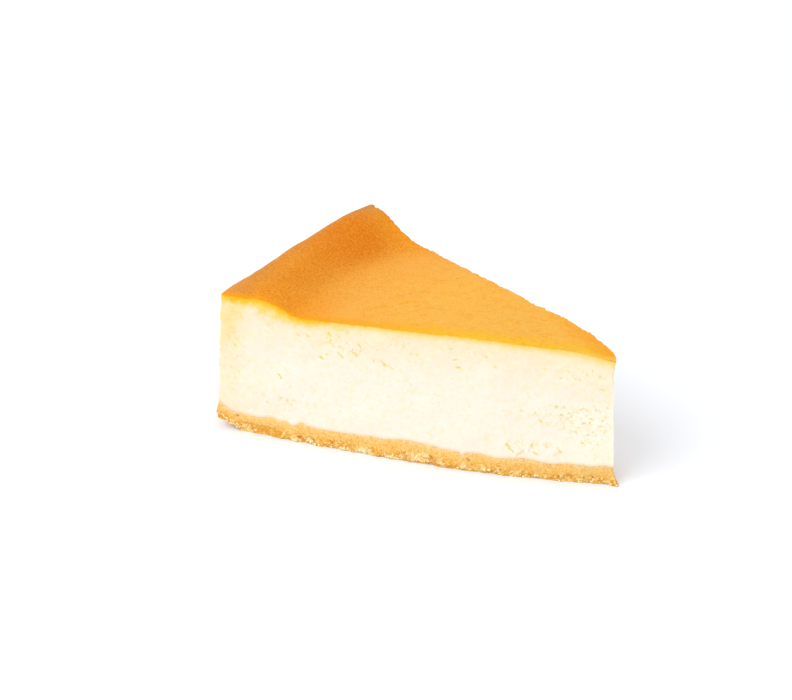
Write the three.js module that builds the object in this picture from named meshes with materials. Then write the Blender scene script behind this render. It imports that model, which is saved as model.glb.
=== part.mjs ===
// A slice of plain baked cheesecake, cut from a round cake: a tall filling with a browned, puffed-up rim,
// on a thin crumb base. Millimetres, +Z up, standing on z = 0. The tip points along +X and the cake's outer
// wall lies towards -X, so the two knife cuts face -Y (the near cut) and +Y (the far cut).
import * as THREE from "three";
import { ImprovedNoise } from "three/addons/math/ImprovedNoise.js";
import { mergeVertices } from "three/addons/utils/BufferGeometryUtils.js";

const { clamp, degToRad, lerp, smoothstep } = THREE.MathUtils;

// The slice in plan at its top. A reach is measured from the middle of the whole cake.
const wedgeAngle = degToRad(33);
const cakeMiddle = new THREE.Vector2(65.9, 0.2); // from the slice's own origin
const tipReach = 12.9; // the tip stops short of the cake's middle
const nearReach = 121.1;
const farReach = 117.6;
const farBendStart = 41; // from here to the tip the far cut curves in
const farBendPull = 19.8;
const wallRadius = 128; // the outer wall is a little flatter than the cake's own 120 mm radius
const hubReach = 79; // a point well inside the slice, which its rings shrink towards

// Heights
const plateauHeight = 37.2; // the flat part of the top
const baseHeight = 5.0; // the crumb base, away from the outer wall
const layerGap = 0.3; // between the base and the filling
const tipDroop = 0.45;
const tipDroopReach = 4.5;
const topWave = { depth: 0.3, size: 22 }; // the gentle unevenness of the top
const jointWave = { depth: 0.3, size: 11 };

// The puffed rim
const rimRiseNear = 4.1;
const rimRiseFar = 5.4;
const rimWidth = 22;
const rimCrestNear = 0.41; // the rim's crest is flat for this share of its width
const rimCrestFar = 0.12;

// Where it is lower or higher, at a share of the way from the near cut to the far one
const rimWaves = [
  { at: 0.33, half: 0.17, rise: -0.95 },
  { at: 0.88, half: 0.1, rise: 0.5 },
];

// Where the top swells or sinks along a cut, at a distance from the tip
const nearSwells = [
  { at: 10, half: 8, rise: 0.6 },
  { at: 28, half: 17, rise: 1.15 },
  { at: 58, half: 14, rise: 0.35 },
  { at: 91.5, half: 4.5, rise: 0.85 },
  { at: 101, half: 2.5, rise: -0.3 },
];
const farSwells = [
  { at: 37, half: 6, rise: -0.4 },
  { at: 60, half: 8, rise: 0.35 },
  { at: 81, half: 6, rise: 0.5 },
];

const shoulderAtCut = 0.35; // radius of the rim's outer edge where the knife cut it
const shoulderMidway = 4.6;
const shoulderFullness = 0.8; // below 1 the radius grows sooner on the way from a cut to midway

// The walls
const tipFlare = 0.021; // the slice is this much larger at its foot than at its top
const wallFlare = 0.034;
const nearBow = 3.9; // how far the near cut swells outwards at its foot
const farBow = 1.6;
const bowSkew = 1.35; // above 1 the walls swell most on the tip's side of their middle
const wallBelly = 0.6; // how far the outer wall swells outwards, most at a third of its height
const bellySkew = 0.6;
const tipBlunt = 1.1; // how far the skin swells out past the far cut, close to the tip
const tipBluntSkew = 30; // the higher, the closer to the tip
const tipBluntHeights = [31, 37]; // it begins and is full at these heights
const wallRipple = 0.28;
const rippleSize = 9;

// The torn patch low on the near cut, where the knife pulled crumbs away
const tearFromTip = 24.3;
const tearHeight = 8;
const tearLength = 4.6;
const tearTall = 2.6;
const tearDepth = 0.7;
const tearRagged = { depth: 0.35, size: 4 };

// The base's side is craggy low down, and its outer lower corner follows the baking tin's rounded corner
const tinCornerReach = 6.5;
const tinCornerRise = 3.2;
const tinCornerBend = 1.1;
const wallCreep = 2.7; // how far the base creeps up against the tin's wall
const wallCreepReach = 1.9;
const baseProud = 0.7; // how far the base stands out past the filling at the outer wall
const baseProudReach = 2;
const cragDepth = 0.75;
const cragSize = 3.2;
const cragTop = [0.35, 0.9]; // the crags fade out between these shares of the base's height
const notchDepth = 0.9; // where crumbs broke away from the lower edge
const tipCrumb = 1.2; // a crumb dragged past the tip by the knife
const tipCrumbReach = 2.2;

// How finely each surface is divided
const fillingSteps = { along: 50, across: 22, up: 9 };
const baseSteps = { along: 72, across: 46, up: 5 };
const crowding = 1.2; // above 1 the steps crowd towards the outer wall
const jointRings = [0.02, 0.05, 0.1, 0.18]; // shares of the way in to the hub
const underRings = [0.03, 0.07, 0.15];
const wallShare = 0.2; // an outward shift reaches this share of the way in from a wall

const noise = new ImprovedNoise();
const direction = (angle) => new THREE.Vector2(Math.cos(angle), Math.sin(angle));
const nearWay = direction(Math.PI + wedgeAngle / 2);
const farWay = direction(Math.PI - wedgeAngle / 2);
const nearOut = direction((wedgeAngle - Math.PI) / 2);
const farOut = direction((Math.PI - wedgeAngle) / 2);
const fromMiddle = (way, reach) => cakeMiddle.clone().addScaledVector(way, reach);
const tip = fromMiddle(nearWay, tipReach);
const nearCorner = fromMiddle(nearWay, nearReach);
const farCorner = fromMiddle(farWay, farReach);
const bendStart = fromMiddle(farWay, farBendStart);
const hub = fromMiddle(direction(Math.PI), hubReach);

// The outer wall's arc runs through both outer corners.
const chord = farCorner.clone().sub(nearCorner);
const wallOut = new THREE.Vector2(-chord.y, chord.x).normalize();
const arcDrop = Math.sqrt(wallRadius ** 2 - chord.lengthSq() / 4);
const arcMiddle = nearCorner.clone().lerp(farCorner, 0.5).addScaledVector(wallOut, -arcDrop);

const farCut = new THREE.CurvePath();
farCut.add(new THREE.LineCurve(farCorner, bendStart));
farCut.add(new THREE.QuadraticBezierCurve(bendStart, fromMiddle(farWay, farBendPull), tip));

// Smooth noise between about -1 and 1, with features of the given size and finer ones on top.
function roughness(x, y, z, size, octaves) {
  let sum = 0;
  let total = 0;
  for (let i = 0; i < octaves; i++) {
    const scale = 2 ** i / size;
    const weight = 0.55 ** i;
    sum += weight * noise.noise(x * scale + 7.3 * i, y * scale + 1.7, z * scale + 4.1);
    total += weight;
  }
  return (1.5 * sum) / total;
}

// A point in plan. Along runs from the outer wall (0) to the tip (1), across from the near cut (0) to the
// far cut (1).
function plan(along, across) {
  if (along === 1) {
    return tip.clone();
  }
  const near = nearCorner.clone().lerp(tip, along);
  const bulge = 4 * across * (1 - across) * (1 - along) * (wallRadius - arcDrop);
  return near.lerp(farCut.getPoint(along), across).addScaledVector(wallOut, bulge);
}

const insideWall = (p) => Math.max(wallRadius - p.distanceTo(arcMiddle), 0);

// Smooth swells and dips, each at its place and with its half width.
function waveSum(place, waves) {
  return waves.reduce((sum, { at, half, rise }) => sum + rise * Math.exp(-(((place - at) / half) ** 2)), 0);
}

// The height of the browned top: a plateau, the puffed rim with its rounded shoulder, and a slight droop at
// the tip.
function topHeight(p, across) {
  const inside = insideWall(p);
  const midway = Math.sin(Math.PI * across);
  const rise = lerp(rimRiseNear, rimRiseFar, across) + waveSum(across, rimWaves);
  const crest = lerp(rimCrestNear, rimCrestFar, across) * rimWidth;
  const rim = rise * (1 - smoothstep(inside, crest, rimWidth));
  const radius = lerp(shoulderAtCut, shoulderMidway, midway ** shoulderFullness);
  const short = Math.max(radius - inside, 0);
  const shoulder = radius - Math.sqrt(radius ** 2 - short ** 2);
  const fromTip = p.distanceTo(tip);
  const droop = tipDroop * Math.exp(-((fromTip / tipDroopReach) ** 2));
  const swell = waveSum(fromTip, nearSwells) * (1 - across) ** 2 + waveSum(fromTip, farSwells) * across ** 4;
  const wave = topWave.depth * roughness(p.x, p.y, 0, topWave.size, 2);
  return plateauHeight + rim - shoulder - droop + swell + wave;
}

// The height of the joint between base and filling.
function jointHeight(p) {
  const creep = wallCreep * Math.exp(-insideWall(p) / wallCreepReach);
  return baseHeight + creep + jointWave.depth * roughness(p.x, p.y, baseHeight, jointWave.size, 2);
}

// The base's underside: flat, lifted at the tin's rounded corner.
function underHeight(p) {
  const near = Math.max(1 - insideWall(p) / tinCornerReach, 0);
  return tinCornerRise * near ** tinCornerBend;
}

// From 1 on a wall down to 0 well inside, by the share of the way in.
const closeTo = (share) => Math.max(1 - share / wallShare, 0);

// The outward way at a point close to one of the three walls, and nothing well inside.
function outward(along, across) {
  return new THREE.Vector2()
    .addScaledVector(nearOut, closeTo(across))
    .addScaledVector(farOut, closeTo(1 - across))
    .addScaledVector(wallOut, closeTo(along));
}

// How deep the torn patch is at a place on the near cut.
function tear(along, across, z) {
  if (across > 0) {
    return 0;
  }
  const fromTip = (1 - along) * (nearReach - tipReach);
  const ragged = tearRagged.depth * roughness(fromTip, z, 0, tearRagged.size, 2);
  const spread = ((fromTip - tearFromTip) / tearLength) ** 2 + ((z - tearHeight) / tearTall) ** 2;
  return tearDepth * Math.exp(-((spread + ragged) ** 2));
}

// A point of the slice at height z, with the walls' flare, swelling and ripple.
function place(along, across, z) {
  const p = plan(along, across);
  const low = 1 - clamp(z / plateauHeight, 0, 1);
  const swell = Math.sin(Math.PI * along ** bowSkew) * low;
  const ripple = wallRipple * roughness(p.x, p.y, z, rippleSize, 3) - tear(along, across, z);
  const spread = p.clone().sub(hub);
  p.addScaledVector(spread, lerp(wallFlare, tipFlare, along) * low);
  p.addScaledVector(nearOut, nearBow * swell * (1 - across) ** 2);
  p.addScaledVector(farOut, farBow * swell * across ** 2);
  const blunt = tipBlunt * Math.sin(Math.PI * along ** tipBluntSkew) * smoothstep(z, ...tipBluntHeights);
  p.addScaledVector(farOut, blunt * across);
  p.addScaledVector(wallOut, wallBelly * Math.sin(Math.PI * (1 - low) ** bellySkew) * closeTo(along));
  p.addScaledVector(outward(along, across), ripple);
  return new THREE.Vector3(p.x, p.y, z);
}

// Shares from 0 to 1 that crowd towards 0.
function crowded(count) {
  return Array.from({ length: count + 1 }, (_, i) => (i / count) ** crowding);
}

function even(count) {
  return Array.from({ length: count + 1 }, (_, i) => i / count);
}

// The places round the slice, anticlockwise from above: the tip, the far cut, the outer wall, the near cut.
function placesRound(alongs, acrosses) {
  const inward = alongs.slice(0, -1);
  const farSide = inward.toReversed().map((along) => [along, 1]);
  const wall = acrosses.slice(1, -1).toReversed().map((across) => [0, across]);
  const nearSide = inward.map((along) => [along, 0]);
  return [[1, 0], ...farSide, ...wall, ...nearSide];
}

// Triangles between rows of equally many points. The diagonals alternate, so that no slant shows.
function between(rows, closed) {
  const triangles = [];
  for (let k = 0; k + 1 < rows.length; k++) {
    const low = rows[k];
    const high = rows[k + 1];
    const count = closed ? low.length : low.length - 1;
    for (let i = 0; i < count; i++) {
      const j = (i + 1) % low.length;
      if ((i + k) % 2) {
        triangles.push([low[i], low[j], high[j]], [low[i], high[j], high[i]]);
      } else {
        triangles.push([low[i], low[j], high[i]], [low[j], high[j], high[i]]);
      }
    }
  }
  return triangles;
}

// One closed body from triangles that share their corners. Those that have shrunk to nothing are dropped.
function solid(triangles) {
  const whole = triangles.filter(([a, b, c]) => !a.equals(b) && !b.equals(c) && !c.equals(a));
  const positions = whole.flat().flatMap((v) => v.toArray());
  const geometry = new THREE.BufferGeometry();
  geometry.setAttribute("position", new THREE.Float32BufferAttribute(positions, 3));
  return mergeVertices(geometry, 1e-4);
}

// Rings that close a flat end: the given ring shrunk towards the hub by each share, then the hub itself.
function closingRings(ring, shares, height) {
  const inner = shares.map((share) =>
    ring.map((v) => {
      const p = new THREE.Vector2(v.x, v.y).lerp(hub, share);
      return new THREE.Vector3(p.x, p.y, height(p));
    }),
  );
  const middle = new THREE.Vector3(hub.x, hub.y, height(hub));
  return [...inner, ring.map(() => middle)];
}

function makeFilling() {
  const alongs = crowded(fillingSteps.along);
  const acrosses = even(fillingSteps.across);
  const floorHeight = (p) => jointHeight(p) + layerGap;
  const onWall = ([along, across], up) => {
    const p = plan(along, across);
    return place(along, across, lerp(floorHeight(p), topHeight(p, across), up));
  };

  const round = placesRound(alongs, acrosses);
  const walls = even(fillingSteps.up).map((up) => round.map((at) => onWall(at, up)));
  const floor = closingRings(walls[0], jointRings, floorHeight);

  const leftward = acrosses.toReversed();
  const top = alongs.slice(0, -1).map((along) => leftward.map((across) => onWall([along, across], 1)));
  const tipTop = onWall([1, 0], 1);
  top.push(leftward.map(() => tipTop));

  return solid([...between([...floor.toReversed(), ...walls], true), ...between(top, false)]);
}

// The base's side: smooth where the filling was poured on it, craggy towards its lower edge.
function baseSide([along, across], up) {
  const p = plan(along, across);
  const v = place(along, across, lerp(underHeight(p), jointHeight(p), up));
  const crags = cragDepth * roughness(p.x, p.y, v.z, cragSize, 3) * (1 - smoothstep(up, ...cragTop));
  const belly = Math.sin(Math.PI * clamp(up + 0.2, 0, 1));
  const proud = baseProud * Math.exp(-insideWall(p) / baseProudReach) * belly;
  const dragged = tipCrumb * Math.exp(-((p.distanceTo(tip) / tipCrumbReach) ** 2)) * (1 - up) ** 2;
  const out = outward(along, across).multiplyScalar(crags + proud);
  out.addScaledVector(p.sub(hub).normalize(), dragged);
  const notch = up === 0 ? notchDepth * Math.max(roughness(v.x, v.y, -cragSize, cragSize, 2), 0) : 0;
  return new THREE.Vector3(v.x + out.x, v.y + out.y, v.z + notch);
}

function makeBase() {
  const round = placesRound(crowded(baseSteps.along), even(baseSteps.across));
  const walls = even(baseSteps.up).map((up) => round.map((at) => baseSide(at, up)));
  const under = closingRings(walls[0], underRings, underHeight);
  const over = closingRings(walls[walls.length - 1], jointRings, jointHeight);
  return solid(between([...under.toReversed(), ...walls, ...over], true));
}

function piece(name, geometry, color, roughness) {
  geometry.computeVertexNormals();
  const mesh = new THREE.Mesh(geometry, new THREE.MeshStandardMaterial({ color, roughness, metalness: 0 }));
  mesh.name = name;
  return mesh;
}

const slice = new THREE.Group();
slice.add(piece("filling", makeFilling(), 0xf6dfae, 0.6));
slice.add(piece("crumb_base", makeBase(), 0xd9a25c, 0.85));

export default slice;
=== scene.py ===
# A slice of plain baked cheesecake on a pale floor. The browned filling and the crumb base are modelled here
# in fine detail over the solid model. Shapes are worked out in millimetres and made metres at the end.
import math
import random

import bmesh
import bpy
import numpy as np
from mathutils import Matrix, Quaternion, Vector, noise


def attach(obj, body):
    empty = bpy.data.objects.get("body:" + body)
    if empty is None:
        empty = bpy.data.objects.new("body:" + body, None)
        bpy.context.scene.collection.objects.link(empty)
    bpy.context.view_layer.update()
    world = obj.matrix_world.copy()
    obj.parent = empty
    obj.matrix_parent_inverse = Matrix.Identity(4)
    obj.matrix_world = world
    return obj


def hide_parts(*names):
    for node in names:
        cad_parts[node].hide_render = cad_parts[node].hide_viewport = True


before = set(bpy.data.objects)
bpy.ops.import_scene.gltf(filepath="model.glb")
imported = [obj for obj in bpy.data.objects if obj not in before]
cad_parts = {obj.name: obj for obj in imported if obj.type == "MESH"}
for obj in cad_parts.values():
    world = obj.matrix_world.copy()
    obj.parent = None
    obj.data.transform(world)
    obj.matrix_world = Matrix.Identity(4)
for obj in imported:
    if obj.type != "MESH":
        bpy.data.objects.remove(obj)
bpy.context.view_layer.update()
mm = 0.001
tiny = 1e-6  # a share as good as nothing
mergeGap = 1e-7  # corners closer than this many metres are made one
print("frame loaded")

# The slice's plan and heights, the same as in the solid model
form = dict(
    wedgeAngle=33,
    cakeMiddle=(65.9, 0.2),  # the middle of the whole cake
    tipReach=12.9,  # reaches are measured from there
    nearReach=121.1,
    farReach=117.6,
    farBendStart=41,
    farBendPull=19.8,
    farBendSteps=80,
    wallRadius=128,
    hubReach=79,
    plateauHeight=37.2,
    baseHeight=5.0,
    tipDroop=0.45,
    tipDroopReach=4.5,
    tipBlunt=1.1,  # how far the skin swells out past the far cut, close to the tip
    tipBluntSkew=30,
    tipBluntHeights=(31, 37),
    rimRise=(4.1, 5.4),  # near cut, far cut
    rimWidth=22,
    rimCrest=(0.41, 0.12),  # the rim's crest is flat for this share of its width
    # Where the rim is lower or higher on the way from the near cut to the far one: share, half width, rise
    rimWaves=[(0.33, 0.17, -0.95), (0.88, 0.1, 0.5)],
    # How the top swells at the near cut and at the far cut: from the tip, half width, rise
    edgeWaves=[(10, 8, 0.6), (28, 17, 1.15), (58, 14, 0.35), (91.5, 4.5, 0.85), (101, 2.5, -0.3)],
    farWaves=[(81, 6, 0.5), (60, 8, 0.35), (37, 6, -0.4)],
    topWaver=0.3,  # how far the top wanders up and down besides
    topWaverSize=22,
    shoulderAtCut=0.35,  # the radius of the top's edge at the outer wall, at the cuts and midway
    shoulderMidway=4.6,
    shoulderFullness=0.8,
    tipFlare=0.021,
    wallFlare=0.034,
    nearBow=3.9,
    farBow=1.6,
    bowSkew=1.35,
    wallBelly=0.6,
    bellySkew=0.6,
    tinCornerReach=6.5,
    tinCornerRise=3.2,
    tinCornerBend=1.1,
    wallCreep=2.7,
    wallCreepReach=1.9,
    wallShare=0.2,
    crowding=1.2,  # steps along the slice crowd towards the outer wall
    jointLift=0.25,
    jointWaver=0.3,
    jointWaverSize=11,
    jointGrain=0.1,
    jointGrainSize=1.6,
    # How the joint wanders on the near cut besides: from the tip, half width, rise
    jointWaves=[(107, 1.6, 0.9), (94, 1.8, 0.7), (87.5, 1.1, -1.1), (84.8, 0.9, 0.4), (65, 2.5, 0.35),
                (53.5, 5.5, 1.0), (40, 0.6, -0.8), (15.5, 3.5, -0.45), (6, 2, -0.4)],
    jointWaveReach=5,
)


def direction(angle):
    return np.array((math.cos(angle), math.sin(angle)))


halfAngle = math.radians(form["wedgeAngle"]) / 2
cakeMiddle = np.array(form["cakeMiddle"])
nearWay = direction(math.pi + halfAngle)
farWay = direction(math.pi - halfAngle)
nearOut = direction(halfAngle - math.pi / 2)
farOut = direction(math.pi / 2 - halfAngle)
tip = cakeMiddle + nearWay * form["tipReach"]
nearCorner = cakeMiddle + nearWay * form["nearReach"]
farCorner = cakeMiddle + farWay * form["farReach"]
hub = cakeMiddle + direction(math.pi) * form["hubReach"]
tipWay = (tip - hub) / np.linalg.norm(tip - hub)
cutLength = form["nearReach"] - form["tipReach"]

chord = farCorner - nearCorner
wallOut = np.array((-chord[1], chord[0])) / np.linalg.norm(chord)
arcDrop = math.sqrt(form["wallRadius"] ** 2 - chord @ chord / 4)
arcMiddle = (nearCorner + farCorner) / 2 - wallOut * arcDrop


def farCutLine():
    # straight from the outer wall, then a bend into the tip
    share = np.linspace(0, 1, form["farBendSteps"])[:, None]
    start = cakeMiddle + farWay * form["farBendStart"]
    pull = cakeMiddle + farWay * form["farBendPull"]
    bend = start * (1 - share) ** 2 + pull * 2 * share * (1 - share) + tip * share**2
    line = np.vstack((farCorner, bend))
    run = np.cumsum(np.linalg.norm(np.diff(line, axis=0), axis=1))
    return np.append(0, run / run[-1]), line


farRun, farLine = farCutLine()


def column(values):
    return np.asarray(values)[:, None]


def smoothStep(low, high, values):
    share = np.clip((values - low) / (high - low), 0, 1)
    return share * share * (3 - 2 * share)


def between(ends, share):
    return ends[0] + (ends[1] - ends[0]) * share


def roughness(points, size, octaves=2, seed=0):
    # smooth noise between about -1 and 1, with features of that size in millimetres
    shift = Vector((7.3 * seed, 1.7, 4.1))
    spots = [Vector(p) / size + shift for p in points.tolist()]
    return np.array([1.3 * noise.fractal(spot, 1.0, 2.0, octaves) for spot in spots])


def lumps(points, size, seed=0):
    # rounded lumps, about 1 in their middles and -1 in the creases between them
    shift = Vector((3.1 * seed, 5.9, 2.3))
    near = np.array([noise.voronoi(Vector(p) / size + shift)[0][:2] for p in points.tolist()])
    return np.clip((near[:, 1] - near[:, 0]) * 3.2 - 1, -1, 1)


def planPlaces(along, across):
    # along runs from the outer wall to the tip, across from the near cut to the far cut
    near = nearCorner + (tip - nearCorner) * column(along)
    far = np.column_stack([np.interp(along, farRun, farLine[:, k]) for k in range(2)])
    bulge = 4 * across * (1 - across) * (1 - along) * (form["wallRadius"] - arcDrop)
    return near + (far - near) * column(across) + wallOut * column(bulge)


def insideWall(plan):
    return np.maximum(form["wallRadius"] - np.linalg.norm(plan - arcMiddle, axis=1), 0)


def flat(plan, z=0.0):
    return np.column_stack((plan, np.broadcast_to(z, len(plan))))


def waveSum(places, waves):
    return sum(rise * np.exp(-(((places - middle) / half) ** 2)) for middle, half, rise in waves)


def topHeights(plan, across):
    inside = insideWall(plan)
    midway = np.sin(np.pi * across)
    width = form["rimWidth"]
    rise = between(form["rimRise"], across) + waveSum(across, form["rimWaves"])
    rim = rise * (1 - smoothStep(between(form["rimCrest"], across) * width, width, inside))
    radius = between((form["shoulderAtCut"], form["shoulderMidway"]), midway ** form["shoulderFullness"])
    short = np.clip(radius - inside, 0, None)
    shoulder = radius - np.sqrt(radius**2 - short**2)
    fromTip = np.linalg.norm(plan - tip, axis=1)
    droop = form["tipDroop"] * np.exp(-((fromTip / form["tipDroopReach"]) ** 2))
    swell = waveSum(fromTip, form["edgeWaves"]) * (1 - across) ** 2
    swell += waveSum(fromTip, form["farWaves"]) * across**4
    waver = form["topWaver"] * roughness(flat(plan), form["topWaverSize"])
    return form["plateauHeight"] + rim - shoulder - droop + swell + waver


def jointHeights(plan):
    creep = form["wallCreep"] * np.exp(-insideWall(plan) / form["wallCreepReach"])
    waver = form["jointWaver"] * roughness(flat(plan, form["baseHeight"]), form["jointWaverSize"])
    closeToCut = np.exp(-((((tip - plan) @ nearOut) / form["jointWaveReach"]) ** 2))
    waves = waveSum((plan - tip) @ nearWay, form["jointWaves"]) * closeToCut
    grain = form["jointGrain"] * roughness(flat(plan, 2), form["jointGrainSize"])
    return form["baseHeight"] + creep + waver + form["jointLift"] + waves + grain


def underHeights(plan):
    near = np.clip(1 - insideWall(plan) / form["tinCornerReach"], 0, None)
    return form["tinCornerRise"] * near ** form["tinCornerBend"]


def closeTo(share):
    return np.clip(1 - share / form["wallShare"], 0, None)


def outwardWays(along, across):
    return (
        nearOut * column(closeTo(across))
        + farOut * column(closeTo(1 - across))
        + wallOut * column(closeTo(along))
    )


def wallPlaces(along, across, z):
    # the plan at that height, with the walls' flare, swelling and belly
    plan = planPlaces(along, across)
    low = 1 - np.clip(z / form["plateauHeight"], 0, 1)
    swell = np.sin(np.pi * along ** form["bowSkew"]) * low
    belly = form["wallBelly"] * np.sin(np.pi * (1 - low) ** form["bellySkew"]) * closeTo(along)
    flare = between((form["wallFlare"], form["tipFlare"]), along) * low
    plan = plan + (plan - hub) * column(flare)
    plan += nearOut * column(form["nearBow"] * swell * (1 - across) ** 2)
    plan += farOut * column(form["farBow"] * swell * across**2)
    blunt = np.sin(np.pi * along ** form["tipBluntSkew"]) * smoothStep(*form["tipBluntHeights"], z)
    plan += farOut * column(form["tipBlunt"] * blunt * across)
    return plan + wallOut * column(belly)


# Mesh helpers
def unitBlock(steps, openEnds):
    # a cube from 0 to 1, each way divided into that many steps
    bm = bmesh.new()
    bmesh.ops.create_cube(bm, size=1, matrix=Matrix.Translation((0.5, 0.5, 0.5)))
    ends = [f for f in bm.faces if f.normal.z < -0.5 or (openEnds and f.normal.z > 0.5)]
    bmesh.ops.delete(bm, geom=ends, context="FACES_ONLY")
    for axis, count in enumerate(steps):
        edges = [e for e in bm.edges if abs(e.verts[0].co[axis] - e.verts[1].co[axis]) > 0.5]
        bmesh.ops.subdivide_edges(bm, edges=edges, cuts=count - 1, use_grid_fill=True)
    return bm


def closeWithRings(bm, edges, shares, height):
    # rings of faces from an open rim towards the hub, at the height that is given for their places
    done = 0
    for share in (*shares, 1):
        made = bmesh.ops.extrude_edge_only(bm, edges=edges)["geom"]
        ring = [v for v in made if isinstance(v, bmesh.types.BMVert)]
        fresh = set(ring)
        edges = [e for e in made if isinstance(e, bmesh.types.BMEdge) and set(e.verts) <= fresh]
        plan = np.array([v.co.xy for v in ring]) / mm
        plan += (hub - plan) * (share - done) / (1 - done)
        for v, xy, z in zip(ring, plan, height(plan)):
            v.co = (xy[0] * mm, xy[1] * mm, z * mm)
        done = share
    bmesh.ops.pointmerge(bm, verts=ring, merge_co=ring[0].co)


def moveVerts(bm, places):
    for v, place in zip(bm.verts, (places * mm).tolist()):
        v.co = place


def storeValues(bm, **values):
    for name, numbers in values.items():
        layer = bm.verts.layers.float.new(name)
        for v, number in zip(bm.verts, numbers.tolist()):
            v[layer] = number


def makePiece(name, bm, finish, sharpAngle=50):
    mesh = bpy.data.meshes.new(name)
    bm.to_mesh(mesh)
    bm.free()
    mesh.shade_smooth()
    mesh.set_sharp_from_angle(angle=math.radians(sharpAngle))
    mesh.materials.append(finish)
    piece = bpy.data.objects.new(name, mesh)
    bpy.context.scene.collection.objects.link(piece)
    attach(piece, "root")
    print(name, len(mesh.vertices), "vertices")
    return piece


# Finishes: shader maths is written as expressions on wires
class Wire:
    def __init__(self, finish, socket):
        self.finish = finish
        self.socket = socket

    def maths(self, operation, *terms):
        return self.finish.node("ShaderNodeMath", dict(operation=operation), dict(enumerate(terms)))

    def __add__(self, other):
        return self.maths("ADD", self, other)

    def __radd__(self, other):
        return self.maths("ADD", other, self)

    def __sub__(self, other):
        return self.maths("SUBTRACT", self, other)

    def __rsub__(self, other):
        return self.maths("SUBTRACT", other, self)

    def __mul__(self, other):
        return self.maths("MULTIPLY", self, other)

    def __rmul__(self, other):
        return self.maths("MULTIPLY", other, self)

    def __truediv__(self, other):
        return self.maths("DIVIDE", self, other)

    def __rtruediv__(self, other):
        return self.maths("DIVIDE", other, self)


class Finish:
    def __init__(self, name, **constants):
        self.material = bpy.data.materials.new(name)
        self.material.use_nodes = True
        self.tree = self.material.node_tree
        self.surface = self.tree.nodes["Principled BSDF"]
        for socket, value in constants.items():
            self.surface.inputs[socket.replace("_", " ")].default_value = value

    def node(self, kind, settings=None, values=None, output=0):
        made = self.tree.nodes.new(kind)
        for name, value in (settings or {}).items():
            if name == "stops":
                self.setStops(made.color_ramp, value)
            else:
                setattr(made, name, value)
        for key, value in (values or {}).items():
            self.feed(made.inputs[key], value)
        return Wire(self, made.outputs[output])

    def feed(self, socket, value):
        if isinstance(value, Wire):
            self.tree.links.new(value.socket, socket)
        else:
            socket.default_value = value

    def setStops(self, ramp, stops):
        while len(ramp.elements) < len(stops):
            ramp.elements.new(0.5)
        for element, (position, color) in zip(ramp.elements, stops):
            element.position = position
            element.color = color

    def attribute(self, name):
        return self.node("ShaderNodeAttribute", dict(attribute_name=name), output="Fac")

    def place(self, stretch=(1, 1, 1), turn=0):
        # where a pattern sits: its features that many times longer along the turned axes
        spot = self.node("ShaderNodeTexCoord", output="Object")
        values = {"Vector": spot, "Rotation": (0, 0, math.radians(turn)), "Scale": stretch}
        return self.node("ShaderNodeMapping", dict(vector_type="TEXTURE"), values)

    def noise(self, size, detail=2.0, roughness=0.5, place=None):
        # cloudy noise from 0 to 1, with features of that size in millimetres
        values = dict(Vector=place or self.place(), Scale=1000 / size, Detail=detail, Roughness=roughness)
        return self.node("ShaderNodeTexNoise", values=values)

    def uneven(self, size, detail=2.0, roughness=0.5, place=None):
        # the same spread around 0, mostly between -1 and 1
        return (self.noise(size, detail, roughness, place) - 0.5) * 6

    def grains(self, size):
        # a tone between 0 and 1 for each grain of that size
        values = dict(Vector=self.place(), Scale=1000 / size)
        return self.node("ShaderNodeTexVoronoi", values=values, output="Color") + 0  # the sum turns it grey

    def step(self, wire, low, high):
        # 0 below low, 1 above high
        settings = dict(interpolation_type="SMOOTHSTEP")
        return self.node("ShaderNodeMapRange", settings, {0: wire, 1: low, 2: high})

    def ramp(self, wire, span, stops):
        # colours at places from 0 to span
        inside = [(position / span, color) for position, color in stops]
        return self.node("ShaderNodeValToRGB", dict(stops=inside), {0: wire / span})

    def mix(self, share, first, second):
        return self.node("ShaderNodeMix", dict(data_type="RGBA"), {0: share, 6: first, 7: second}, output=2)

    def bump(self, height, depth):
        return self.node("ShaderNodeBump", values=dict(Height=height, Distance=depth * mm))

    def finish(self, **wires):
        for socket, wire in wires.items():
            self.feed(self.surface.inputs[socket.replace("_", " ")], wire)
        return self.material


def seen(red, green, blue, light=1.0):
    # a colour as it should look, divided by the light that falls on its surface
    def linear(value):
        value /= 255
        return value / 12.92 if value <= 0.04045 else ((value + 0.055) / 1.055) ** 2.4

    brightest = 0.98
    return (*(min(linear(value) / light, brightest) for value in (red, green, blue)), 1)


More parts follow.
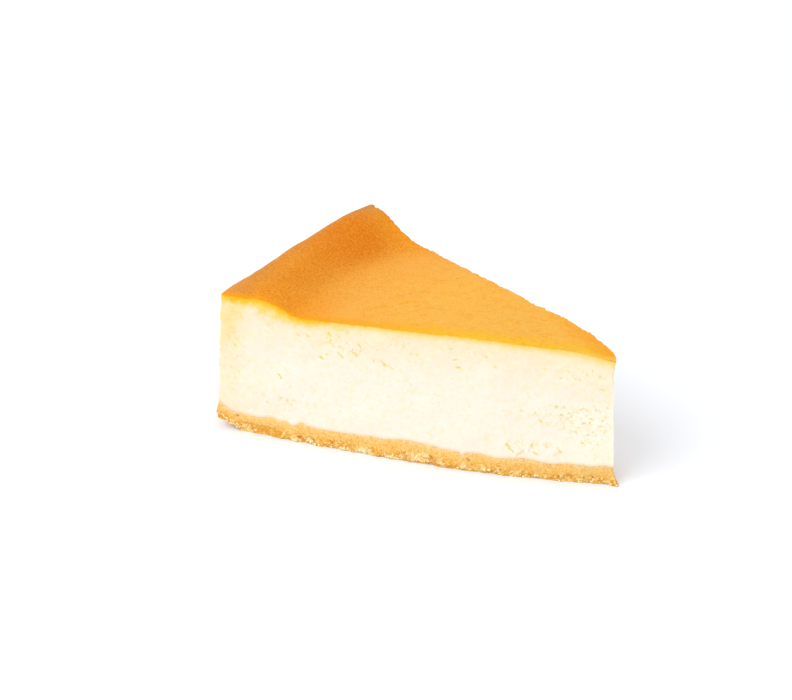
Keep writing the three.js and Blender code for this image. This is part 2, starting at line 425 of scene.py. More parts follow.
# The filling: pores, slits and torn curds in the cuts, and the browned skin on top
filling = dict(
    steps=(208, 80, 64),  # along, across, up; the near cut is divided twice as finely
    crowding=(0.6, 0.2),  # of the steps across: how evenly they lie, and how they crowd towards both cuts
    rings=(0.03, 0.1, 0.3),  # rings of faces that close it underneath, as shares of the way to the hub
    gapToBase=0.02,
    sharpAngle=62,
    # The walls' waviness and grain
    ripple=0.28,
    rippleSize=9,
    grain=0.04,
    grainSize=1.0,
    edgeWaver=0.14,  # how much the upright edges wander
    edgeWaverSize=2.2,
    edgeWaverReach=1.2,
    # How the tip's edge wanders besides: height, half height, push
    tipWaves=[(37.5, 2, 0.4), (32, 2, -0.3), (26, 3, 0.15), (12, 5, 0.1)],
    edgeRound=0.14,
    skinRag=0.14,  # the skin's edge stands a little in and out
    skinRagSize=1.5,
    skinRagTall=1.0,
    # Nicks and steps in the skin's far edge: from the tip, half width, drop
    farNicks=[
        (106.8, 0.7, -0.5), (90, 0.5, 0.5), (81.6, 0.5, 0.4), (76, 0.6, 0.35), (34.5, 2, -0.55),
        (19, 0.7, 0.3), (15.3, 1.5, -0.55), (12.2, 1.1, 0.5),
    ],
    farNick=0.45,  # and the small ones all along it
    farNickSize=1.3,
    farNickFade=40,  # how soon they end, away from the edge
    wrinkle=0.06,
    wrinkleSize=(5.5, 1.9),
    wrinkleStart=(16, 34),  # the wrinkles come in over this stretch, past the rim
    dents=34,  # small dents and lips in the skin of the top
    dentDepth=0.2,
    dentAlong=(0.2, 1),
    dentCrowding=0.7,
    dentAcross=(0.06, 0.94),
    dentTurn=(33, 22),  # degrees, and how much they vary
    dentLong=(0.5, 1.5),
    dentWide=(0.35, 0.6),
    dentStrength=(0.4, 1),
    dentBend=(0.25, 2.2),  # how far a dent snakes, and how fast
    poreDepth=0.18,
    poreWarp=0.3,
    poreWarpSize=0.8,
    poreFree=(0.7, 0.2),  # this close to the top and to the tip there are none
    # The boldest slits on the near cut, from their left end to their right: from the tip, and height
    slits=[
        [(69.5, 32), (68.5, 31)], [(71, 29.5), (69.5, 28.5)], [(75, 28.5), (73.5, 27.5)],
        [(84, 32.5), (83.2, 31.7)], [(78, 34), (77, 33)], [(75.5, 34), (74.5, 33)], [(78, 31), (77, 32)],
        [(77, 31), (76, 30)], [(80, 26.5), (79, 26)], [(63, 28), (61.5, 26.5)], [(61, 27), (59.5, 26)],
        [(35, 33.5), (34, 33)], [(3.5, 28.5), (2.5, 28)], [(86.5, 32.5), (86, 32)],
        [(104.5, 26.5), (103.5, 26)], [(91.5, 19.5), (90.5, 18.5)], [(43, 31), (42, 31.3)], [(41, 30.7)],
        [(42, 29), (41.2, 29)], [(19.5, 17), (19, 16.5)], [(8, 22), (7, 21.5)],
        [(15.6, 7), (14.2, 8.7), (13.6, 8.5)], [(14.4, 9.8), (13.8, 8.3)], [(27.4, 10.4), (28, 9.4)],
        [(27.8, 9), (26.4, 7.2)], [(25.3, 6.2), (23.9, 7.6)], [(21.7, 8.9), (21.4, 10)],
        [(20.9, 7.5), (19.9, 7)],
    ],
    slitHalf=(0.22, 0.32),
    slitStrength=(0.6, 0.95),
    # The boldest round pores there
    dots=[
        (53, 31), (55, 29), (43.5, 34), (78, 27.5), (100, 22), (89.5, 10.5), (31.5, 31), (14, 30), (7, 32),
        (5.5, 33), (5.5, 25), (5, 23), (15, 21.5), (7.5, 17.5), (3, 19), (8, 12), (65, 27.5), (60, 33),
        (56.5, 33), (57.5, 35.5), (44, 33), (18.5, 32), (3.5, 32),
    ],
    dotHalf=(0.28, 0.38),
    dotStrength=(0.6, 1),
    strewnPores=420,
    strewnSpread=0.6,
    strewnSlant=(30, 35),  # degrees, and how much they vary
    strewnLength=(0.3, 0.9),
    strewnHalf=(0.2, 0.32),
    strewnStrength=(0.25, 0.75),
    # Where finer pores are thick: from the tip, height, half width, half height, how thick
    patches=[
        (9, 18.5, 12, 5, 1), (14, 18, 9, 3, 1), (6, 14, 5, 4, 0.9), (65, 31, 24, 4, 0.8),
        (50, 34.5, 50, 1.8, 0.7), (88, 11.5, 13, 3.5, 0.8), (104.5, 24, 4, 12, 0.8), (8, 31, 12, 4, 0.7),
        (54, 20, 50, 14, 0.5),
    ],
    # Where the knife tore the curd, in the same way, the size of a curd, and the creases between them
    curds=[(23.6, 9.3, 4.2, 3, 1), (17.5, 10.2, 3.2, 1.8, 0.8)],
    curdSize=1.2,
    curdRelief=0.15,
    crease=0.5,
    creaseSize=2.2,
    # Yellow stains that bleed from the skin, in the same way
    stains=[
        (107.2, 40, 0.8, 1.2, 0.8), (104.5, 37.6, 1.3, 1, 0.4), (102.5, 36.2, 0.9, 2, 0.4),
        (106.5, 33.8, 0.7, 0.5, 0.6), (105, 31.2, 1, 0.7, 0.45), (106, 28.8, 0.7, 0.7, 0.4),
        (96.3, 37.9, 1.8, 1.7, 0.8), (91.5, 36.9, 2.8, 1.6, 0.8), (94, 34.2, 0.8, 1, 0.45),
        (86.5, 36.6, 0.9, 0.9, 0.6), (84, 35.8, 1.6, 0.7, 0.45), (75, 35.6, 2.2, 0.7, 0.4),
        (62, 36, 0.6, 0.8, 0.35),
    ],
    faintStains=0.35,  # how far the faint ones elsewhere show
    faintStainSize=2.4,
    faintStainDepth=2.5,
    seed=11,
)


def strokesOn(nearCut):
    # pores and slits, each as its points, half width and strength
    draw = random.Random(filling["seed"] + (0 if nearCut else 1))
    strokes = []

    def addStroke(points, kind, thick=1):
        half = draw.uniform(*filling[kind + "Half"])
        strokes.append((points, half, thick * draw.uniform(*filling[kind + "Strength"])))

    if nearCut:
        for slit in filling["slits"]:
            addStroke(slit, "slit")
        for dot in filling["dots"]:
            addStroke([dot], "dot")
    for i in range(filling["strewnPores"]):
        s, z, wide, tall, thick = draw.choice(filling["patches"])
        spread = filling["strewnSpread"]
        start = (draw.gauss(s, wide * spread), draw.gauss(z, tall * spread))
        slant = math.radians(draw.gauss(*filling["strewnSlant"]))
        length = draw.choice((0, 0, draw.uniform(*filling["strewnLength"])))  # two in three are round
        end = (start[0] - length * math.cos(slant), start[1] - length * math.sin(slant))
        addStroke([start, end], "strewn", thick)
    return strokes


def strokeMarks(fromTip, height, strokes):
    # 1 on a stroke's line, fading out over its half width
    marks = np.zeros(len(fromTip))
    for points, half, strength in strokes:
        s, z = np.array(points).T
        reach = 3 * half
        near = (fromTip > s.min() - reach) & (fromTip < s.max() + reach)
        near = np.flatnonzero(near & (height > z.min() - reach) & (height < z.max() + reach))
        away = np.hypot(fromTip[near] - s[0], height[near] - z[0])
        for k in range(len(points) - 1):
            runX, runY = s[k + 1] - s[k], z[k + 1] - z[k]
            x, y = fromTip[near] - s[k], height[near] - z[k]
            share = np.clip((x * runX + y * runY) / (runX**2 + runY**2 + 1e-9), 0, 1)
            away = np.minimum(away, np.hypot(x - share * runX, y - share * runY))
        marks[near] = np.maximum(marks[near], strength * np.exp(-((away / half) ** 2)))
    return marks


def blotMarks(fromTip, height, blots):
    marks = np.zeros(len(fromTip))
    for s, z, wide, tall, strength in blots:
        apart = ((fromTip - s) / wide) ** 2 + ((height - z) / tall) ** 2
        marks = np.maximum(marks, strength * np.exp(-apart))
    return marks


def topDents(plan):
    # below 0 in a dent, and above 0 on its lip, which is nearer the tip
    draw = random.Random(filling["seed"])
    bend, bendTurn = filling["dentBend"]
    marks = np.zeros(len(plan))
    for i in range(filling["dents"]):
        along = draw.uniform(*filling["dentAlong"]) ** filling["dentCrowding"]
        across = draw.uniform(*filling["dentAcross"])
        place = planPlaces(np.array([along]), np.array([across]))[0]
        way = direction(math.radians(draw.gauss(*filling["dentTurn"])))
        long, wide = draw.uniform(*filling["dentLong"]), draw.uniform(*filling["dentWide"])
        x = (plan - place) @ way
        y = (plan - place) @ np.array((-way[1], way[0])) + bend * np.sin(x * bendTurn + i)
        fade = np.exp(-((x / long) ** 2) - (y / wide) ** 2)
        marks += draw.uniform(*filling["dentStrength"]) * (y / wide) * fade
    return -2 * marks  # the deepest come to about -1


def cutMarks(s, z, depth, spots, onNear):
    # on one cut: pores, how porous it is, stains, torn curd, and how far its curds stand out
    warpX = filling["poreWarp"] * roughness(spots, filling["poreWarpSize"], 2, seed=4)
    warpY = filling["poreWarp"] * roughness(spots, filling["poreWarpSize"], 2, seed=5)
    s, z = s + warpX, z + warpY
    pore = strokeMarks(s, z, strokesOn(onNear))
    porous = blotMarks(s, z, filling["patches"])
    faint = smoothStep(0.3, 1, roughness(spots, filling["faintStainSize"], 2, seed=15))
    stain = filling["faintStains"] * (faint * np.exp(-depth / filling["faintStainDepth"]))
    if not onNear:
        return pore, porous, stain, np.zeros(len(s)), np.zeros(len(s))
    stain = np.maximum(stain, blotMarks(s + 2 * warpX, z + 2 * warpY, filling["stains"]))
    torn = smoothStep(0.3, 0.6, blotMarks(s + 3 * warpX, z + 3 * warpY, filling["curds"]))
    curd = lumps(spots + column(warpX), filling["curdSize"], seed=2)
    proud = filling["curdRelief"] * torn * np.clip(curd, -0.4, 1)
    shown = smoothStep(-0.5, 0.5, roughness(spots, filling["creaseSize"], 2, seed=16))
    crease = filling["crease"] * torn * shown * np.clip(-2 * curd - 0.6, 0, 1)
    return np.maximum(pore, crease), porous, stain, torn, proud


def shapeFilling():
    bm = unitBlock(filling["steps"], openEnds=False)
    lastStep = 1 - 0.5 / filling["steps"][0]
    onNearCut = [e for e in bm.edges if all(v.co.y < tiny and v.co.x < lastStep for v in e.verts)]
    bmesh.ops.subdivide_edges(bm, edges=onNearCut, cuts=1, use_grid_fill=True)

    share = np.array([v.co[:] for v in bm.verts])
    along = share[:, 0] ** form["crowding"]
    even, crowded = filling["crowding"]
    across = even * share[:, 1] + crowded * (1 - np.cos(np.pi * share[:, 1]))
    up = share[:, 2]
    nearCut, farCut, onTop = share[:, 1] < tiny, share[:, 1] > 1 - tiny, up > 1 - tiny
    outerWall = (share[:, 0] < tiny) & ~nearCut & ~farCut

    plan = planPlaces(along, across)
    inside = insideWall(plan)
    fromTip = (1 - along) * cutLength
    over = topHeights(plan, across)
    under = jointHeights(plan) + filling["gapToBase"]
    height = under + (over - under) * up
    depth = over - height
    spots = flat(plan, height)

    # The walls' waviness and grain, and the upright edges' waver
    push = filling["ripple"] * roughness(spots, filling["rippleSize"], 3)
    onSide = (nearCut | farCut | outerWall).astype(float)
    push += onSide * filling["grain"] * roughness(spots, filling["grainSize"], 2, seed=1)
    waver = filling["edgeWaver"] * roughness(spots, filling["edgeWaverSize"], 3, seed=2)
    push += waver * np.exp(-inside / filling["edgeWaverReach"]) * onSide * (nearCut | farCut)

    # The skin's ragged edge
    lip = 1 - smoothStep(0, filling["skinRagTall"], depth)
    rag = roughness(spots, filling["skinRagSize"], 2, seed=3)
    push += lip * onSide * ~outerWall * filling["skinRag"] * rag
    edge = onTop & (nearCut | farCut)
    push -= filling["edgeRound"] * edge

    pore, porous, stain, torn, proud = marks = np.zeros((5, len(share)))
    belowTop, offTip = filling["poreFree"]
    for cut, onNear in ((nearCut, True), (farCut, False)):
        where = np.flatnonzero(cut & (depth > belowTop) & (fromTip > offTip))
        marks[:, where] = cutMarks(fromTip[where], height[where], depth[where], spots[where], onNear)
    push += proud
    push -= filling["poreDepth"] * pore

    moved = wallPlaces(along, across, height) + outwardWays(along, across) * column(push)
    waver = waver + waveSum(height, filling["tipWaves"])
    moved += tipWay * column(waver * np.exp(-fromTip / filling["edgeWaverReach"]))

    # Soft wrinkles and dents on the top, and nicks in the skin's far edge
    long, wide = filling["wrinkleSize"]
    stretched = np.column_stack((plan[:, 0] / long, plan[:, 1] / wide, np.zeros(len(plan))))
    pastRim = smoothStep(*filling["wrinkleStart"], inside)
    wrinkle = filling["wrinkle"] * roughness(stretched, 1, 3, seed=6) * pastRim
    dent = topDents(plan) * onTop
    atFarEdge = np.exp(-(1 - across) * filling["farNickFade"]) * onTop
    nick = np.clip(roughness(spots, filling["farNickSize"], 2, seed=8) - 0.1, 0, 1) * atFarEdge
    height = height + onTop * (wrinkle - filling["farNick"] * nick)
    height -= waveSum(fromTip, filling["farNicks"]) * atFarEdge
    height += filling["dentDepth"] * dent - filling["edgeRound"] * edge
    moved -= farOut * column(filling["farNick"] * nick)

    moveVerts(bm, np.column_stack((moved, height)))
    width = np.interp(1 - along, (0, 1), (0, np.linalg.norm(chord)))
    storeValues(
        bm,
        depth=depth,
        aboveJoint=(over - under) * up,
        inside=inside,
        across=across,
        fromTip=fromTip,
        fromCut=across * width,
        fromFar=(1 - across) * width,
        outerWall=outerWall.astype(float),
        pore=pore,
        porous=porous,
        stain=stain,
        torn=torn,
        dent=np.clip(-dent, 0, 1),
    )
    bmesh.ops.remove_doubles(bm, verts=bm.verts, dist=mergeGap)
    rim = [e for e in bm.edges if e.is_boundary]
    closeWithRings(bm, rim, filling["rings"], lambda plan: jointHeights(plan) + filling["gapToBase"])
    bmesh.ops.recalc_face_normals(bm, faces=bm.faces)
    return bm


def fillingFinish():
    f = Finish(
        "bakedFilling", Subsurface_Weight=0.2, Subsurface_Scale=0.0014, Subsurface_Radius=(1.0, 0.8, 0.45),
        Specular_IOR_Level=0.06,
    )
    top, cut = 1.25, 1.2  # the light on the top and on the cuts
    depth, inside, pore = f.attribute("depth"), f.attribute("inside"), f.attribute("pore")
    across, fromTip, outerWall = f.attribute("across"), f.attribute("fromTip"), f.attribute("outerWall")
    fromCut, fromFar, above = f.attribute("fromCut"), f.attribute("fromFar"), f.attribute("aboveJoint")
    clouds = f.uneven(5, 3)
    mottle = f.uneven(1.5, 3)
    speckle = f.uneven(0.55, 3, 0.65)

    # The browned top, from the outer wall inwards; its greyer tone at the very outer edge is partly painted
    # sheen
    baked = f.ramp(inside + clouds * 1.6 + mottle * 0.8, 50, [
        (0, seen(204, 141, 88, top)),
        (2.8, seen(221, 146, 64, top)),
        (7, seen(240, 151, 40, top)),
        (12, seen(236, 142, 24, top)),
        (17, seen(241, 152, 40, top)),
        (23, seen(248, 168, 60, top)),
        (32, seen(252, 178, 72, top)),
        (50, seen(254, 188, 76, top)),
    ])
    # The rim is darkest towards the far cut, and glows orange along both cuts and in the near corner
    farShade = f.step(across, 0.35, 0.8) * (1 - f.step(inside, 14, 26)) * f.step(inside, 1, 5)
    baked = f.mix(farShade * (f.step(fromFar, 2, 12) * 0.8 + 0.1), baked, seen(232, 126, 2, top))
    farGlow = (1 - f.step(fromFar, 1, 10)) * f.step(inside, 7, 14) * (1 - f.step(inside, 22, 32))
    baked = f.mix(farGlow * 0.75, baked, seen(253, 155, 24, top))
    nearGlow = (1 - f.step(fromCut, 4, 19)) * f.step(inside, 6, 13) * (1 - f.step(inside, 20, 34))
    baked = f.mix(nearGlow * 0.8, baked, seen(253, 159, 28, top))
    cornerGlow = (1 - f.step(fromCut, 4, 20)) * (1 - f.step(inside, 2, 7))
    baked = f.mix(cornerGlow * 0.55, baked, seen(243, 164, 72, top))
    # Past the rim it is blotched with orange, and its dents are painted a darker orange as painted shade
    onRim = 1 - f.step(inside, 16, 32)
    blush = f.uneven(1.9, 3, 0.6, place=f.place((1.5, 1, 1), 33))
    baked = f.mix(f.step(blush, -0.1, 1.6) * (1 - onRim) * 0.85, baked, seen(253, 169, 30, top))
    baked = f.mix(f.attribute("dent") * 0.75, baked, seen(246, 156, 24, top))
    # It is yellower along its edges and towards the tip
    baked = f.mix((1 - f.step(fromTip, 2, 24)) * 0.6, baked, seen(255, 194, 62, top))
    rag = mottle * 0.5 + clouds * 0.5
    edgeTone = f.mix(f.step(inside, 20, 75), seen(254, 162, 18, top), seen(254, 196, 32, top))
    edgeTone = f.mix(f.step(mottle, -0.1, 0.9) * 0.7, edgeTone, seen(252, 170, 18, top))
    atEdge = 1 - f.step(fromCut + rag * 1.6, 0.8, 2.8 + f.step(inside, 18, 50) * 4)
    baked = f.mix(atEdge * 0.85, baked, edgeTone)
    besideRim = f.step(inside, 5, 13) * (1 - f.step(inside, 20, 30))
    farBand = (1 - f.step(fromFar + rag, 0.3, 5)) * (besideRim + (1 - f.step(fromTip, 10, 40)) * 0.9 + 0.1)
    baked = f.mix(farBand * 0.75, baked, seen(253, 163, 22, top))
    rubbed = (1 - f.step(fromCut, 0, 1.8)) * (1 - f.step(fromTip, 6, 18))
    baked = f.mix(rubbed * 0.7, baked, seen(254, 208, 92, top))
    # Its fine grain is strongest on the rim and faint along the near edge: darker flecks, and pale flecks
    # that are painted glints
    grit = f.uneven(0.45, 2, 0.6)
    grain = 1 - atEdge * 0.7
    glint = f.mix(onRim, seen(255, 198, 108, top), seen(252, 182, 76, top))
    baked = f.mix(f.step(speckle, 0.0, -1.2) * (onRim * 0.4 + 0.25) * grain, baked, seen(208, 112, 6, top))
    baked = f.mix(f.step(speckle, 0.0, 1.2) * (onRim * 0.15 + 0.25) * grain, baked, glint)
    baked = f.mix(f.step(grit, 0.0, -1.1) * (onRim * 0.35 + 0.2) * grain, baked, seen(216, 122, 12, top))
    baked = f.mix(f.step(grit, 0.0, 1.1) * (onRim * 0.1 + 0.25) * grain, baked, glint)

    # The cut: cream, warmer under the skin and yellower at the outer wall and the tip
    cream = f.ramp(depth + clouds * 1.2, 36, [
        (0, seen(254, 234, 200, cut)),
        (5, seen(254, 236, 207, cut)),
        (9, seen(254, 239, 218, cut)),
        (15, seen(254, 242, 226, cut)),
        (27, seen(254, 244, 228, cut)),
        (36, seen(254, 241, 225, cut)),
    ])
    nearWall = 1 - f.step(inside + clouds * 1.5, 1.5, 9)
    cream = f.mix(nearWall * (1 - f.step(depth, 4, 22) * 0.75) * 0.95, cream, seen(254, 221, 130, cut))
    cream = f.mix((1 - f.step(inside, 4, 26)) * 0.35, cream, seen(254, 235, 200, cut))
    nearTip = 1 - f.step(fromTip, 1, 24)
    cream = f.mix(nearTip * (1 - f.step(depth, 6, 18)) * 0.5, cream, seen(255, 243, 207, cut))
    cream = f.mix(nearTip * f.step(depth, 10, 20) * 0.7, cream, seen(255, 252, 230, cut))
    cream = f.mix(outerWall * 0.8, cream, seen(252, 241, 216, cut))
    cream = f.mix(f.step(mottle, 0.0, 1.3) * 0.35, cream, seen(252, 231, 176, cut))
    cream = f.mix(f.step(mottle, 0.1, -1.3) * 0.3, cream, seen(255, 248, 238, cut))
    cream = f.mix(f.step(speckle, 0.1, 1.3) * 0.35, cream, seen(250, 230, 156, cut))
    cream = f.mix((1 - f.step(above, 0, 1.1)) * 0.75, cream, seen(251, 220, 176, cut))
    cream = f.mix(f.attribute("torn") * 0.45, cream, seen(255, 250, 234, cut))

    # The skin seen edge on bleeds down into the cream, and is thicker near the outer wall and the tip
    streaks = f.uneven(1.8, 3, 0.6)
    onWallSide = 1 - f.step(inside, 18, 38)
    ragged = streaks * (onWallSide * 0.3 + 0.3) + speckle * 0.15
    bleed = depth * (1.15 - nearTip * 0.25) + ragged + 0.1 - onWallSide * 1.6
    skin = f.ramp(bleed + 1, 5, [
        (0, seen(254, 188, 34, cut)),
        (0.7, seen(254, 194, 46, cut)),
        (1.1, seen(254, 202, 72, cut)),
        (1.5, seen(254, 212, 108, cut)),
        (2, seen(254, 220, 142, cut)),
        (2.7, seen(254, 226, 168, cut)),
        (3.6, seen(254, 231, 188, cut)),
        (5, seen(254, 235, 200, cut)),
    ])
    color = f.mix(f.step(bleed, 1.4, 4), skin, cream)
    color = f.mix(f.step(depth * (1 + streaks * 0.4), 0.45, 0), color, baked)
    color = f.mix(f.attribute("stain"), color, seen(254, 210, 88, cut))
    # Fine pores where it is porous, and the pores and the creases between torn curds, are painted a darker
    # yellow: painted shade in these small holes
    fine = f.step(f.noise(0.8, 3, 0.6), 0.58, 0.7) * f.step(f.attribute("porous"), 0.1, 0.9)
    color = f.mix(fine * 0.55, color, seen(246, 224, 126, cut))
    color = f.mix(f.step(pore, 0.05, 0.8) * 0.9, color, seen(241, 219, 106, cut))

    skinShare = f.step(depth, 0.5, 0.1)
    leather = f.noise(0.9, 4) + f.noise(0.3, 2) * 0.5
    curd = f.noise(0.7, 3) * 0.5 - fine
    height = leather * skinShare + curd * (1 - skinShare)
    rough = 0.6 + (1 - skinShare) * 0.1 + mottle * 0.03
    return f.finish(Base_Color=color, Roughness=rough, Normal=f.bump(height, 0.1))


fillingPiece = makePiece(
    "baked_filling", shapeFilling(), fillingFinish(), sharpAngle=filling["sharpAngle"]
)
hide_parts("filling")

# The crumb base: smooth where it was cut cleanly, crumbly along its lower edge
base = dict(
    steps=(480, 260, 32),
    # Rings of faces that close it below and above, as shares of the way to the hub
    lowerRings=(0.01, 0.04, 0.12),
    upperRings=(0.03, 0.1, 0.3),
    ripple=0.28,
    rippleSize=9,
    crag=0.32,
    cragSize=2.8,
    cragTop=(0.1, 0.62),  # the crags fade out between these shares of the height
    cragTopRag=0.2,
    cragTopRagSize=3.4,
    lump=0.13,
    lumpSize=0.95,
    fine=0.05,
    fineSize=0.45,
    proud=0.45,  # the base stands out from the filling near the outer wall
    proudReach=2,
    tipCrumb=1.6,  # the crumb dragged out at the tip
    tipCrumbReach=1.5,
    tipCrumbTaper=1.8,
    tipTuck=0.5,  # how far the tip steps back above it
    # Where the lower edge is broken away on the near cut: from the tip, half width, rise
    breaks=[(2.2, 1, 0.5), (33, 4, 0.7), (46, 6, 1.2), (60, 6, 0.4), (76.5, 1.2, 0.35)],
    breakReach=2.5,  # how far in they go
    smallBreak=0.45,  # and the small ones everywhere
    smallBreakSize=2.0,
    warp=0.16,  # how unevenly the marks below are drawn
    warpSize=0.9,
    # The boldest dark pits and cracks there, from their left end to their right
    pits=[
        [(103.5, 4.5), (103, 4.5)], [(102.5, 2), (101.5, 1.5)], [(86, 1.5), (85, 1.5)],
        [(81.5, 1.5), (81, 0.5)], [(76.5, 2), (76, 1.5)], [(55.5, 2.5)], [(48.5, 3), (48, 2)],
        [(38.5, 3.5), (38, 3)], [(37.2, 1.9)], [(30, 2.5)], [(14.2, 1.5), (14, 0.8)],
        [(5.5, 2.2), (5.2, 1.5)],
    ],
    pitDepth=0.5,
    pitHalf=0.26,
    pitStrength=0.95,
    strewnPits=(0.42, 0.95),  # smaller ones where the noise lies between these and above
    strewnPitSize=1.05,
    strewnPitStrength=(0.6, 0.9),  # on the near cut, and on the other sides
    creasePit=0.45,
    # The boldest pale flakes there: from the tip, height, half width, half height, strength
    flakes=[
        (104.5, 1.5, 2.2, 0.5, 0.7), (101, 1.7, 0.8, 0.4, 0.9), (86.5, 0.7, 1, 0.5, 0.9),
        (82.5, 1, 1.2, 0.7, 0.6), (72, 0.5, 1.6, 0.4, 0.8), (67.5, 1, 1.7, 0.7, 1), (60, 0.6, 1.3, 0.4, 0.9),
        (52.5, 1.5, 3, 1, 0.45), (50, 2.7, 1.4, 0.35, 0.8), (46, 1, 1, 0.4, 0.9), (39.3, 1.3, 1.1, 0.8, 0.8),
        (34, 1, 1, 0.35, 0.8), (20, 1, 0.8, 0.35, 0.8), (13.5, 1.5, 0.4, 0.6, 0.9), (8, 1.5, 0.3, 0.8, 0.8),
    ],
    flakeProud=0.35,
    # Where a layer has come away below the joint, in the same way
    hollows=[(95, 1.4, 3.6, 1.3, 1), (100, 2.4, 2.4, 0.6, 0.7), (48, 1.2, 2, 0.7, 0.5)],
    hollowDepth=0.5,
)


def baseSkin(along, across, up):
    # places on the base's side, and how pitted, pale, hollow and crumbly each is
    plan = planPlaces(along, across)
    under, over = underHeights(plan), jointHeights(plan)
    height = under + (over - under) * up
    spots = flat(plan, height)
    fromTip = (1 - along) * cutLength
    onNear = across < tiny
    ragged = up + base["cragTopRag"] * roughness(spots, base["cragTopRagSize"], 2, seed=9)
    crumbly = 1 - smoothStep(*base["cragTop"], ragged)

    warp = base["warp"] * roughness(spots, base["warpSize"], 2, seed=7)
    strokes = [(points, base["pitHalf"], base["pitStrength"]) for points in base["pits"]]
    pit = strokeMarks(fromTip + warp, height - warp, strokes) * onNear
    strewn = smoothStep(*base["strewnPits"], roughness(spots, base["strewnPitSize"], 2, seed=14))
    pit = np.maximum(pit, strewn * crumbly * np.where(onNear, *base["strewnPitStrength"]))
    s, z = fromTip + 3 * warp, height - 2 * warp
    pale = blotMarks(s, z, base["flakes"]) * onNear
    flake = smoothStep(0.3, 0.6, pale)
    hollow = smoothStep(0.1, 0.6, blotMarks(s, z, base["hollows"])) * onNear

    lump = lumps(spots, base["lumpSize"], seed=3)
    relief = base["crag"] * roughness(spots, base["cragSize"], 3, seed=10) + base["lump"] * lump
    relief = relief * crumbly + base["fine"] * roughness(spots, base["fineSize"], 2, seed=11)
    relief += base["flakeProud"] * flake - base["pitDepth"] * pit - base["hollowDepth"] * hollow
    pit = np.maximum(pit, base["creasePit"] * crumbly * np.clip(-lump, 0, 1))

    belly = np.sin(np.pi * np.clip(up + 0.2, 0, 1))
    push = relief + base["proud"] * np.exp(-insideWall(plan) / base["proudReach"]) * belly
    push += base["ripple"] * roughness(spots, base["rippleSize"], 3)
    atTip = np.exp(-((np.linalg.norm(plan - tip, axis=1) / base["tipCrumbReach"]) ** 2))
    dragged = base["tipCrumb"] * (1 - up) ** base["tipCrumbTaper"] - base["tipTuck"] * up
    moved = wallPlaces(along, across, height) + outwardWays(along, across) * column(push)
    moved += tipWay * column(dragged * atTip)
    small = np.clip(roughness(spots * (1, 1, 0), base["smallBreakSize"], 3, seed=12), 0, 1)
    broken = base["smallBreak"] * small + waveSum(fromTip, base["breaks"]) * onNear
    height = height + broken * np.clip(1 - up * 4, 0, 1)
    return np.column_stack((moved, height)), dict(pit=pit, pale=pale, hollow=hollow, crumbly=crumbly)


def brokenUnderHeights(plan):
    lift = waveSum((plan - tip) @ nearWay, base["breaks"])
    fromCut = (tip - plan) @ nearOut
    return underHeights(plan) + lift * np.exp(-((fromCut / base["breakReach"]) ** 2))


def shapeBase():
    bm = unitBlock(base["steps"], openEnds=True)
    share = np.array([v.co[:] for v in bm.verts])
    along, across, up = share[:, 0] ** form["crowding"], share[:, 1], share[:, 2]
    places, marks = baseSkin(along, across, up)
    moveVerts(bm, places)
    storeValues(bm, up=up, **marks)
    bmesh.ops.remove_doubles(bm, verts=bm.verts, dist=mergeGap)
    layer = bm.verts.layers.float["up"]
    rim = [e for e in bm.edges if e.is_boundary]
    lower = [e for e in rim if e.verts[0][layer] < 0.5]
    upper = [e for e in rim if e.verts[0][layer] > 0.5]
    closeWithRings(bm, lower, base["lowerRings"], brokenUnderHeights)
    closeWithRings(bm, upper, base["upperRings"], jointHeights)
    bmesh.ops.recalc_face_normals(bm, faces=bm.faces)
    return bm


def baseFinish():
    f = Finish(
        "crumbBase", Subsurface_Weight=0.1, Subsurface_Scale=0.001, Subsurface_Radius=(1.0, 0.5, 0.2),
        Specular_IOR_Level=0.15,
    )
    light = 1.14  # the light on its side
    pit, pale, crumbly, up = (f.attribute(name) for name in ("pit", "pale", "crumbly", "up"))
    clouds = f.uneven(4, 2)
    mottle = f.uneven(1.1, 3)
    grit = f.uneven(0.42, 3, 0.7)
    crumb = f.grains(0.7)
    color = f.ramp(up + clouds * 0.12 + mottle * 0.06, 1, [
        (0, seen(234, 167, 52, light)),
        (0.3, seen(237, 175, 64, light)),
        (0.55, seen(243, 190, 96, light)),
        (0.85, seen(248, 201, 118, light)),
        (1, seen(250, 212, 146, light)),
    ])
    # Grains and crumbs, then where it is hollow, flaked and pitted; the hollows and the pits, also the
    # creases between lumps, are painted a darker orange as painted shade
    color = f.mix(f.step(grit, -0.1, 0.9) * (crumbly * 0.25 + 0.5), color, seen(255, 226, 158, light))
    color = f.mix(f.step(grit, 0.1, -0.9) * (crumbly * 0.25 + 0.55), color, seen(220, 146, 44, light))
    color = f.mix(f.step(crumb, 0.6, 0.7) * (crumbly * 0.55 + 0.1), color, seen(255, 232, 166, light))
    color = f.mix(f.step(crumb, 0.4, 0.3) * (crumbly * 0.55 + 0.1), color, seen(218, 146, 44, light))
    color = f.mix(f.attribute("hollow") * 0.5, color, seen(231, 163, 56, light))
    color = f.mix(pale * 0.85, color, seen(255, 238, 186, light))
    color = f.mix(f.step(pit, 0.1, 0.9) * 0.8, color, seen(214, 134, 10, light))
    grain = f.bump(f.noise(0.6, 5, 0.65), 0.14)
    return f.finish(Base_Color=color, Roughness=0.8 + grit * 0.03, Normal=grain)


basePiece = makePiece("crumb_base_crust", shapeBase(), baseFinish())
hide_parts("crumb_base")

# Pale crumbs that cling to the base's lower edge
crumbs = dict(
    counts=(640, 480, 380),  # on the near cut, the far cut and the outer wall
    climb=0.15,  # how far up they lie, as shares of the base's height
    climbMost=0.6,
    onFlake=(3, 4),  # on each flake, and for each millimetre of its half width
    flakeSpread=(0.6, 0.5),
    flakeClimbMost=0.8,
    patch=-0.05,  # elsewhere they lie where the noise is above this
    patchSize=5,
    size=(0.24, 0.8),
    smallness=2.4,  # most are small, but not on a flake
    wide=(0.6, 1),
    tall=(0.5, 0.9),
    sink=0.25,
    lift=0.42,  # how high the middle stands over the floor
    dent=0.055,
    seed=5,
)


